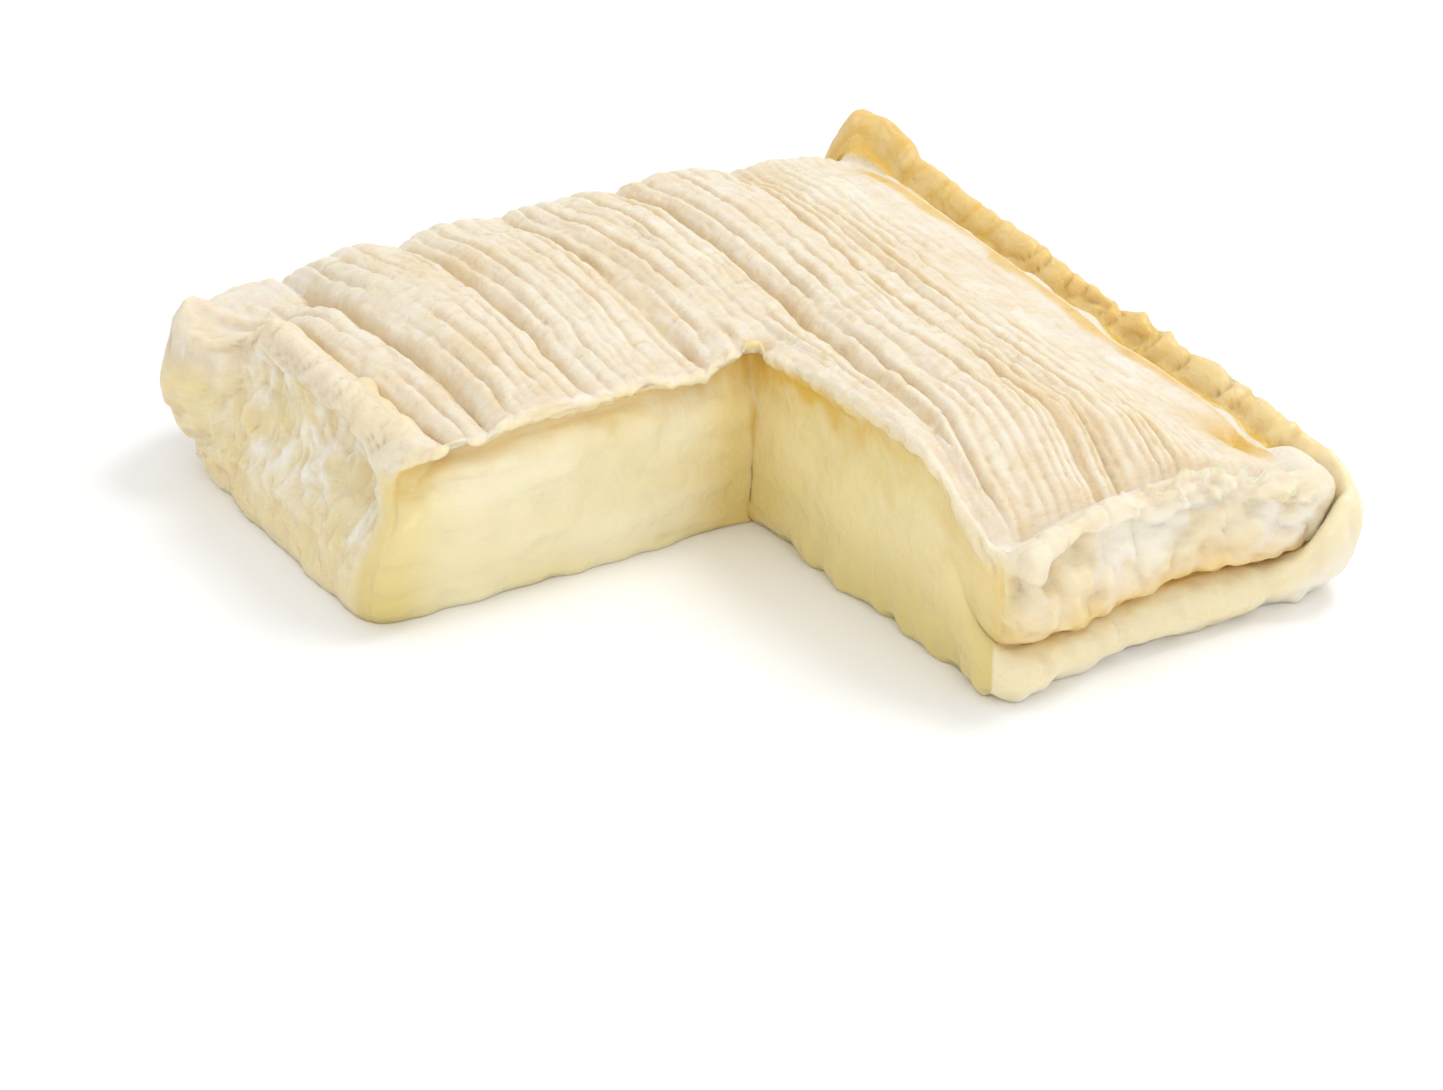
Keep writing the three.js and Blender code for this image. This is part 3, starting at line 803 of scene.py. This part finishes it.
def wall_grid(ring, first):
    """Each wall point's number, [place in the ring, row], and the walls' faces. The first row is
    the edge of the top."""
    below = first + np.arange(len(ring) * ROWS).reshape(len(ring), ROWS)
    number = np.concatenate([ring[:, None], below], axis=1)
    after = np.roll(number, -1, axis=0)
    faces = np.stack([number[:, :-1], number[:, 1:], after[:, 1:], after[:, :-1]], -1)
    return number, faces.reshape(-1, 4)


def cheese_surface():
    """Points in millimetres, faces and masks of the whole cheese. The top's grid and the walls
    share the edge of the top. The foot is level, on a coarser grid. A crease is a groove of the
    top or a hollow of the walls' detail, and the crease mask paints shade into both."""
    column, row, present, number = grid_nodes(ACROSS, DEEP)
    x, y = plan_place(column[present] / ACROSS, row[present] / DEEP)
    relief, crease_shade = top_relief(x, y)
    top = np.stack([x, y, smooth_top(x, y) + relief], -1)
    nodes, way = ring_nodes(ACROSS, DEEP)
    ring = number[nodes[:, 0] + ACROSS, nodes[:, 1] + DEEP]
    walls = wall_points(top[ring, :2], way)
    wall_number, sides = wall_grid(ring, len(top))
    quads = np.vstack([grid_quads(number, ACROSS, DEEP), sides])
    points = worn_ends(np.vstack([top, walls[:, 1:].reshape(-1, 3)]))

    way_all = np.full(len(points), -1.0)
    way_all[wall_number] = way[:, None]
    down_all = np.zeros(len(points))
    down_all[wall_number] = np.arange(ROWS + 1) / ROWS
    masks = zone_masks(points, way_all, down_all)
    detail = surface_detail(points, way_all, down_all, masks["paste"])
    # Painted shade: the crease tint is laid into the hollows of the walls' detail, and into the
    # top's creases below.
    masks["crease"] = np.clip(-0.75 * detail - 0.15, 0, 0.5) * (1 - masks["paste"])
    masks["crease"][:len(top)] = np.maximum(masks["crease"][:len(top)], crease_shade)
    points = points + normals_of(points, quads) * detail[:, None]
    foot_ring = wall_number[:, -1]
    points[foot_ring, 2] = 0.0
    points[:, 2] = np.maximum(points[:, 2], 0.0)

    foot_points, foot_faces = foot_surface(foot_ring, len(points))
    bare = np.zeros(len(foot_points))
    masks = {name: np.append(mask, bare) for name, mask in masks.items()}
    return np.vstack([points, foot_points]), quads, foot_faces, masks


def foot_surface(foot_ring, first):
    """The foot: a coarse grid inside the foot's edge. An outer cell is one face that takes in
    every point of the edge beside it."""
    across, deep = ACROSS // FOOT_STEP, DEEP // FOOT_STEP
    column, row, present, number = grid_nodes(across, deep)
    nodes, _ = ring_nodes(across, deep)
    place = np.full(number.shape, -1)
    place[nodes[:, 0] + across, nodes[:, 1] + deep] = np.arange(len(nodes)) * FOOT_STEP
    inner = present & (place < 0)
    x, y = plan_place(column[inner] / across, row[inner] / deep)
    points = np.stack([x, y, 0 * x], -1)
    label = np.full(number.shape, -1)
    label[inner] = first + np.arange(inner.sum())
    label[place >= 0] = foot_ring[place[place >= 0]]
    cells = grid_quads(np.arange(number.size).reshape(number.shape), across, deep)
    flat_label, flat_place = label.ravel(), place.ravel()
    faces = []
    for cell in cells:
        face = []
        for here, there in zip(cell, np.roll(cell, -1)):
            face.append(int(flat_label[here]))
            start, end = flat_place[here], flat_place[there]
            if start >= 0 and (end - start) % len(foot_ring) == FOOT_STEP:
                face += [int(foot_ring[start + k]) for k in range(1, FOOT_STEP)]
        faces.append(face[::-1])
    return points, faces


# ---------------------------------------------------------------- nodes for the finish


def set_input(tree, socket, value):
    """Link a socket to another socket, or give it a plain value."""
    if isinstance(value, bpy.types.NodeSocket):
        tree.links.new(value, socket)
    else:
        socket.default_value = value


def add(tree, kind, inputs=(), **settings):
    """One node, with its settings and the values or links of its inputs."""
    node = tree.nodes.new(kind)
    for name, value in settings.items():
        setattr(node, name, value)
    for name, value in dict(inputs).items():
        set_input(tree, node.inputs[name], value)
    return node


def math_node(tree, operation, first, second):
    """One step of arithmetic on two values or sockets."""
    return add(tree, "ShaderNodeMath", {0: first, 1: second}, operation=operation).outputs[0]


def mix_colour(tree, share, first, second):
    """A share of the second colour over the first."""
    node = add(tree, "ShaderNodeMix", {0: share, 6: first, 7: second}, data_type="RGBA")
    return node.outputs[2]


def mix_value(tree, share, first, second):
    """A share of the second value over the first."""
    node = add(tree, "ShaderNodeMix", {0: share, 2: first, 3: second}, data_type="FLOAT")
    return node.outputs[0]


def spread(tree, value, low, high, to_low=0.0, to_high=1.0):
    """Value from low..high to to_low..to_high, by a smooth step."""
    return add(tree, "ShaderNodeMapRange", {
        "Value": value, "From Min": low, "From Max": high, "To Min": to_low, "To Max": to_high,
    }, interpolation_type="SMOOTHSTEP").outputs[0]


def new_group(name, inputs, outputs):
    """A shader node group with named sockets: (name, kind, default) for inputs."""
    group = bpy.data.node_groups.new(name, "ShaderNodeTree")
    for label, kind, default in inputs:
        socket = group.interface.new_socket(label, in_out="INPUT", socket_type=kind)
        if default is not None:
            socket.default_value = default
    for label, kind in outputs:
        group.interface.new_socket(label, in_out="OUTPUT", socket_type=kind)
    return group, group.nodes.new("NodeGroupInput").outputs, group.nodes.new("NodeGroupOutput")


def placed(tree, group, inputs):
    """The first output of a group, placed in a tree."""
    return add(tree, "ShaderNodeGroup", inputs, node_tree=group).outputs[0]


def mottle_group():
    """Soft patches: two sizes of noise added, and stepped into a mask from 0 to 1."""
    group, given, out = new_group("Mottle", [
        ("Vector", "NodeSocketVector", None), ("Scale", "NodeSocketFloat", 1.0),
        ("Low", "NodeSocketFloat", 0.4), ("High", "NodeSocketFloat", 0.6),
    ], [("Mask", "NodeSocketFloat")])
    noise = add(group, "ShaderNodeTexNoise", {
        "Vector": given["Vector"], "Scale": given["Scale"], "Detail": 4.0, "Roughness": 0.6,
        "Distortion": 0.4})
    step = add(group, "ShaderNodeMapRange", {
        "Value": noise.outputs[0], "From Min": given["Low"], "From Max": given["High"],
    }, interpolation_type="SMOOTHSTEP")
    set_input(group, out.inputs["Mask"], step.outputs[0])
    return group


def wrinkle_group():
    """Fine relief: wide puckers, less sharp ridged folds, with fine grains, as one height."""
    group, given, out = new_group("Fine wrinkles", [
        ("Vector", "NodeSocketVector", None), ("Scale", "NodeSocketFloat", 1.0),
        ("Folds", "NodeSocketFloat", 0.3), ("Grain", "NodeSocketFloat", 0.4),
    ], [("Height", "NodeSocketFloat")])
    wide = add(group, "ShaderNodeTexNoise", {
        "Vector": given["Vector"], "Scale": given["Scale"], "Detail": 3.0, "Distortion": 0.8})
    folds = add(group, "ShaderNodeTexNoise", {
        "Vector": given["Vector"], "Scale": given["Scale"], "Detail": 2.0, "Distortion": 0.5},
        noise_type="RIDGED_MULTIFRACTAL")
    fine = add(group, "ShaderNodeTexNoise", {
        "Vector": given["Vector"], "Scale": math_node(group, "MULTIPLY", given["Scale"], 4.0),
        "Detail": 2.0, "Roughness": 0.6})
    folded = math_node(group, "MULTIPLY", folds.outputs[0], given["Folds"])
    height = math_node(group, "SUBTRACT", wide.outputs[0], folded)
    scaled = math_node(group, "MULTIPLY", fine.outputs[0], given["Grain"])
    set_input(group, out.inputs["Height"], math_node(group, "ADD", height, scaled))
    return group


def piece_inputs(tree):
    """What the finish reads, by name: the place in metres, in millimetres (mm) and in millimetres
    drawn out along the ribs (long) or across them (cross), the height, and the piece's masks."""
    place = add(tree, "ShaderNodeTexCoord").outputs["Object"]
    given = {"place": place}
    for name, scale in (
        ("mm", (1000, 1000, 1000)), ("long", (1000, 420, 1000)), ("cross", (520, 1300, 900)),
    ):
        given[name] = add(tree, "ShaderNodeMapping", {"Vector": place, "Scale": scale}).outputs[0]
    given["upright"] = add(tree, "ShaderNodeSeparateXYZ", {0: place}).outputs[2]
    for layer, names in LAYERS.items():
        colour = add(tree, "ShaderNodeAttribute", attribute_name=layer).outputs["Color"]
        given.update(zip(names, add(tree, "ShaderNodeSeparateColor", {0: colour}).outputs))
    return given


def rind_colour(tree, colours, given, mottle):
    """Cream with tan patches, wide ones along the ribs and fine ones across them, and white
    bloom over both."""
    rind = colours["rind"]
    for stretch, scale, low, high, share, name in (
        ("long", 0.11, 0.42, 0.68, 0.65, "tan"), ("cross", 0.42, 0.45, 0.75, 0.55, "tan"),
        ("long", 0.22, 0.5, 0.72, 0.6, "bloom"),
    ):
        patches = placed(tree, mottle, {
            "Vector": given[stretch], "Scale": scale, "Low": low, "High": high})
        rind = mix_colour(tree, math_node(tree, "MULTIPLY", patches, share), rind, colours[name])
    return rind


def surface_colour(tree, colours, given, mottle, cloudy, fluff):
    """The rind, then straw skin, paste, gold and the creases' tint, each over the last by its own
    mask, and the mould on top. The creases' tint is painted shade. Paste is deeper in patches,
    and towards the foot as painted shade. The golden colour is the rim's own ochre and also
    painted shade and glow in the hollows, and the milky colour is paler paste and also a painted
    sheen on the second cut face."""
    straw = mix_colour(tree, cloudy, colours["straw"], colours["rind"])
    straw = mix_colour(tree, 0.35, colours["straw"], straw)
    patches = placed(tree, mottle, {
        "Vector": given["mm"], "Scale": 0.3, "Low": 0.4, "High": 0.7})
    gold_and_shade = mix_colour(tree, math_node(tree, "MULTIPLY", patches, 0.2),
                      colours["gold_and_shade"], colours["straw"])
    # Painted shade: the paste turns deeper towards the foot; the cloudy patches are its own tone.
    deep = math_node(tree, "MAXIMUM", math_node(tree, "MULTIPLY", cloudy, 0.4),
                     spread(tree, given["upright"], 0.001, 0.017, 0.95, 0.0))
    paste = mix_colour(tree, deep, colours["paste"], colours["paste_deep"])
    paste = mix_colour(tree, given["milk_and_sheen"], paste, colours["milk_and_sheen"])
    # Painted shade in the creases and hollows.
    crease_shade_share = math_node(tree, "MULTIPLY", given["crease"], 0.6)
    base = rind_colour(tree, colours, given, mottle)
    for share, over in (
        (given["straw"], straw), (given["paste"], paste), (given["gold_and_shade"], gold_and_shade),
        (crease_shade_share, colours["crease"]), (fluff, colours["bloom"]),
    ):
        base = mix_colour(tree, share, base, over)
    return base


def surface_bump(tree, given, wrinkles, moist):
    """Soft wrinkles on the rind, wet ones on the moist skin and smooth ones on the paste. The
    foot also has the lines of a drainage mat."""
    soft = placed(tree, wrinkles, {
        "Vector": given["cross"], "Scale": 0.6, "Folds": 0.35, "Grain": 0.3})
    wet = placed(tree, wrinkles, {"Vector": given["mm"], "Scale": 0.42, "Folds": 0.5, "Grain": 0.2})
    smooth = placed(tree, wrinkles, {
        "Vector": given["mm"], "Scale": 0.34, "Folds": 0.12, "Grain": 0.04})
    height = mix_value(tree, given["paste"], mix_value(tree, moist, soft, wet), smooth)
    lines = add(tree, "ShaderNodeTexWave", {
        "Vector": given["place"], "Scale": 90.0, "Distortion": 0.6}, bands_direction="Y")
    foot = spread(tree, given["upright"], 0.0, 0.0004, 1.0, 0.0)
    mat = math_node(tree, "MULTIPLY", lines.outputs["Fac"], foot)
    strength = mix_value(tree, given["paste"], mix_value(tree, moist, 0.6, 0.85), 0.5)
    return add(tree, "ShaderNodeBump", {
        "Height": math_node(tree, "ADD", height, mat), "Strength": strength,
        "Distance": 0.0006}).outputs[0]


def cheese_material(finish):
    """Rind, rim, paste and mould in one surface. The piece's own masks say where each lies."""
    material = bpy.data.materials.new("Ripened cheese")
    material.use_nodes = True
    tree = material.node_tree
    tree.nodes.clear()
    mottle, wrinkles = mottle_group(), wrinkle_group()
    colours = {name: (*getattr(finish, name), 1.0) for name in finish.__annotations__}
    given = piece_inputs(tree)

    cloudy = placed(tree, mottle, {"Vector": given["mm"], "Scale": 0.16, "Low": 0.35, "High": 0.7})
    downy = placed(tree, mottle, {"Vector": given["mm"], "Scale": 0.55, "Low": 0.15, "High": 0.45})
    fluff = math_node(tree, "MULTIPLY", given["mould"], downy)
    moist = math_node(tree, "MAXIMUM", given["straw"], given["gold_and_shade"])
    moist = math_node(tree, "MAXIMUM", given["paste"], moist)
    rough = mix_value(tree, given["paste"], mix_value(tree, moist, 0.6, 0.28), 0.15)
    rough = math_node(tree, "ADD", rough, math_node(tree, "MULTIPLY", cloudy, 0.08))

    shader = add(tree, "ShaderNodeBsdfPrincipled", {
        "Base Color": surface_colour(tree, colours, given, mottle, cloudy, fluff),
        "Roughness": mix_value(tree, fluff, rough, 0.85),
        "Normal": surface_bump(tree, given, wrinkles, moist), "IOR": 1.42,
        "Subsurface Weight": 0.55, "Subsurface Scale": 0.0022,
        "Subsurface Radius": (1.0, 0.68, 0.2),
    })
    add(tree, "ShaderNodeOutputMaterial", {"Surface": shader.outputs[0]})
    return material


# ---------------------------------------------------------------- the add-on


def colour_property(name, description, default):
    """A colour in the panel, as three linear shares."""
    return bpy.props.FloatVectorProperty(
        name=name, description=description, default=default, subtype="COLOR", size=3, min=0, max=1)


class CheeseFinish(bpy.types.PropertyGroup):
    """The colours of the cheese"""

    rind: colour_property("Rind", "Main colour of the rind", (0.78, 0.715, 0.595))
    tan: colour_property("Tan", "Colour of the rind's darker patches", (0.72, 0.585, 0.39))
    bloom: colour_property("Bloom", "Colour of the white mould", (0.86, 0.82, 0.73))
    # Painted shade: the colour laid into the creases and hollows.
    crease: colour_property("Crease", "Colour down in the creases", (0.69, 0.50, 0.24))
    straw: colour_property("Straw", "Colour of the pale rim and lips", (0.82, 0.715, 0.43))
    # Gold: the rim's own ochre, and painted shade in the grooves, pits, hollows and inner corner,
    # with a painted glow in the fold between the lips.
    gold_and_shade: colour_property("Gold", "Colour of the rolled rim and of the deep folds",
                          (0.72, 0.46, 0.085))
    paste: colour_property("Paste", "Colour of the cut faces", (0.82, 0.70, 0.375))
    # Deeper paste: darker patches of the paste, and painted shade towards the foot.
    paste_deep: colour_property("Deeper paste", "Colour of the cut faces' darker patches",
                                (0.66, 0.54, 0.20))
    # Milk: paler paste, and a painted sheen on the second cut face.
    milk_and_sheen: colour_property("Milk", "Colour of the cut faces' paler parts", (0.87, 0.80, 0.59))


class CheeseStage(bpy.types.PropertyGroup):
    """The floor, the lights and the lens"""

    floor: colour_property("Floor", "Colour of the floor", (0.95, 0.95, 0.95))
    key: bpy.props.FloatProperty(
        name="Key light", description="Power of the large light from the right", default=1.95,
        min=0, unit="POWER")
    fill: bpy.props.FloatProperty(
        name="Fill light", description="Power of the light from the front", default=1.15,
        min=0, unit="POWER")
    sky: bpy.props.FloatProperty(
        name="Surround", description="Strength of the light from all round", default=0.9, min=0)
    lens: bpy.props.FloatProperty(
        name="Lens", description="Focal length of the camera in millimetres", default=85.1, min=1)


class CHEESE_OT_body(bpy.types.Operator):
    """Build the cheese as one closed surface with its finish"""

    bl_idname = "cheese.body"
    bl_label = "Cheese"

    def execute(self, context):
        points, quads, foot_faces, masks = cheese_surface()
        mesh = bpy.data.meshes.new("cheese_body")
        mesh.from_pydata(((points + INNER_CORNER) / 1000).tolist(), [],
                         quads.tolist() + foot_faces)
        smooth = np.ones(len(mesh.polygons), bool)
        smooth[len(quads):] = False
        mesh.polygons.foreach_set("use_smooth", smooth)
        for name, zones in LAYERS.items():
            values = np.stack([masks[zone] for zone in zones] + [np.ones(len(points))], -1)
            layer = mesh.color_attributes.new(name, "FLOAT_COLOR", "POINT")
            layer.data.foreach_set("color", values.astype(np.float32).ravel())
        if mesh.validate():
            raise RuntimeError("the cheese's surface has faulty faces")
        piece = bpy.data.objects.new("cheese_body", mesh)
        context.scene.collection.objects.link(piece)
        mesh.materials.append(cheese_material(context.scene.cheese_finish))
        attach(piece, "root")
        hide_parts("cheese")
        return {"FINISHED"}


class CHEESE_OT_stage(bpy.types.Operator):
    """Add the pale floor, the studio lights and the camera"""

    bl_idname = "cheese.stage"
    bl_label = "Floor, lights and camera"

    def execute(self, context):
        scene, stage = context.scene, context.scene.cheese_stage
        scene.view_settings.view_transform = "Standard"
        floor = bpy.data.meshes.new("floor")
        floor.from_pydata([
            (FLOOR_HALF * x, FLOOR_HALF * y, -FLOOR_DROP)
            for x, y in ((-1, -1), (1, -1), (1, 1), (-1, 1))
        ], [], [(0, 1, 2, 3)])
        ground = bpy.data.objects.new("floor", floor)
        scene.collection.objects.link(ground)
        pale = bpy.data.materials.new("Pale floor")
        pale.use_nodes = True
        shader = pale.node_tree.nodes["Principled BSDF"]
        shader.inputs["Base Color"].default_value = (*stage.floor, 1)
        shader.inputs["Roughness"].default_value = 0.6
        floor.materials.append(pale)

        world = bpy.data.worlds.new("Surround")
        world.use_nodes = True
        world.node_tree.nodes["Background"].inputs["Color"].default_value = (1, 1, 1, 1)
        world.node_tree.nodes["Background"].inputs["Strength"].default_value = stage.sky
        scene.world = world
        for name, (place, size) in LIGHTS.items():
            lamp = bpy.data.lights.new(name, "AREA")
            lamp.shape, lamp.size, lamp.energy = "DISK", size, getattr(stage, name)
            light = bpy.data.objects.new(name, lamp)
            light.location = place
            light.rotation_mode = "QUATERNION"
            light.rotation_quaternion = (-Vector(place)).to_track_quat("-Z", "Y")
            scene.collection.objects.link(light)

        camera = bpy.data.cameras.new("camera")
        camera.lens = stage.lens
        camera.sensor_width = 36
        camera.clip_start = 0.01
        eye = bpy.data.objects.new("camera", camera)
        azimuth, elevation = math.radians(CAMERA_AZIMUTH), math.radians(CAMERA_ELEVATION)
        away = Vector((math.sin(azimuth) * math.cos(elevation),
                       -math.cos(azimuth) * math.cos(elevation), math.sin(elevation)))
        eye.location = Vector(CAMERA_PLACE) + Vector(INNER_CORNER / 1000)
        eye.rotation_mode = "QUATERNION"
        eye.rotation_quaternion = (-away).to_track_quat("-Z", "Y")
        scene.collection.objects.link(eye)
        scene.camera = eye
        return {"FINISHED"}


class CHEESE_PT_panel(bpy.types.Panel):
    bl_label = "Cut square cheese"
    bl_space_type = "VIEW_3D"
    bl_region_type = "UI"
    bl_category = "Cheese"

    def draw(self, context):
        layout, scene = self.layout, context.scene
        for settings, operator in (
            (scene.cheese_finish, "cheese.body"), (scene.cheese_stage, "cheese.stage"),
        ):
            box = layout.box()
            for name in settings.__annotations__:
                box.prop(settings, name)
            box.operator(operator)


CLASSES = (CheeseFinish, CheeseStage, CHEESE_OT_body, CHEESE_OT_stage, CHEESE_PT_panel)


def register():
    for cls in CLASSES:
        bpy.utils.register_class(cls)
    bpy.types.Scene.cheese_finish = bpy.props.PointerProperty(type=CheeseFinish)
    bpy.types.Scene.cheese_stage = bpy.props.PointerProperty(type=CheeseStage)


def unregister():
    del bpy.types.Scene.cheese_stage
    del bpy.types.Scene.cheese_finish
    for cls in reversed(CLASSES):
        bpy.utils.unregister_class(cls)


def main():
    """Build the cheese and its stage."""
    register()
    bpy.ops.cheese.body()
    bpy.ops.cheese.stage()


if __name__ == "__main__":
    main()
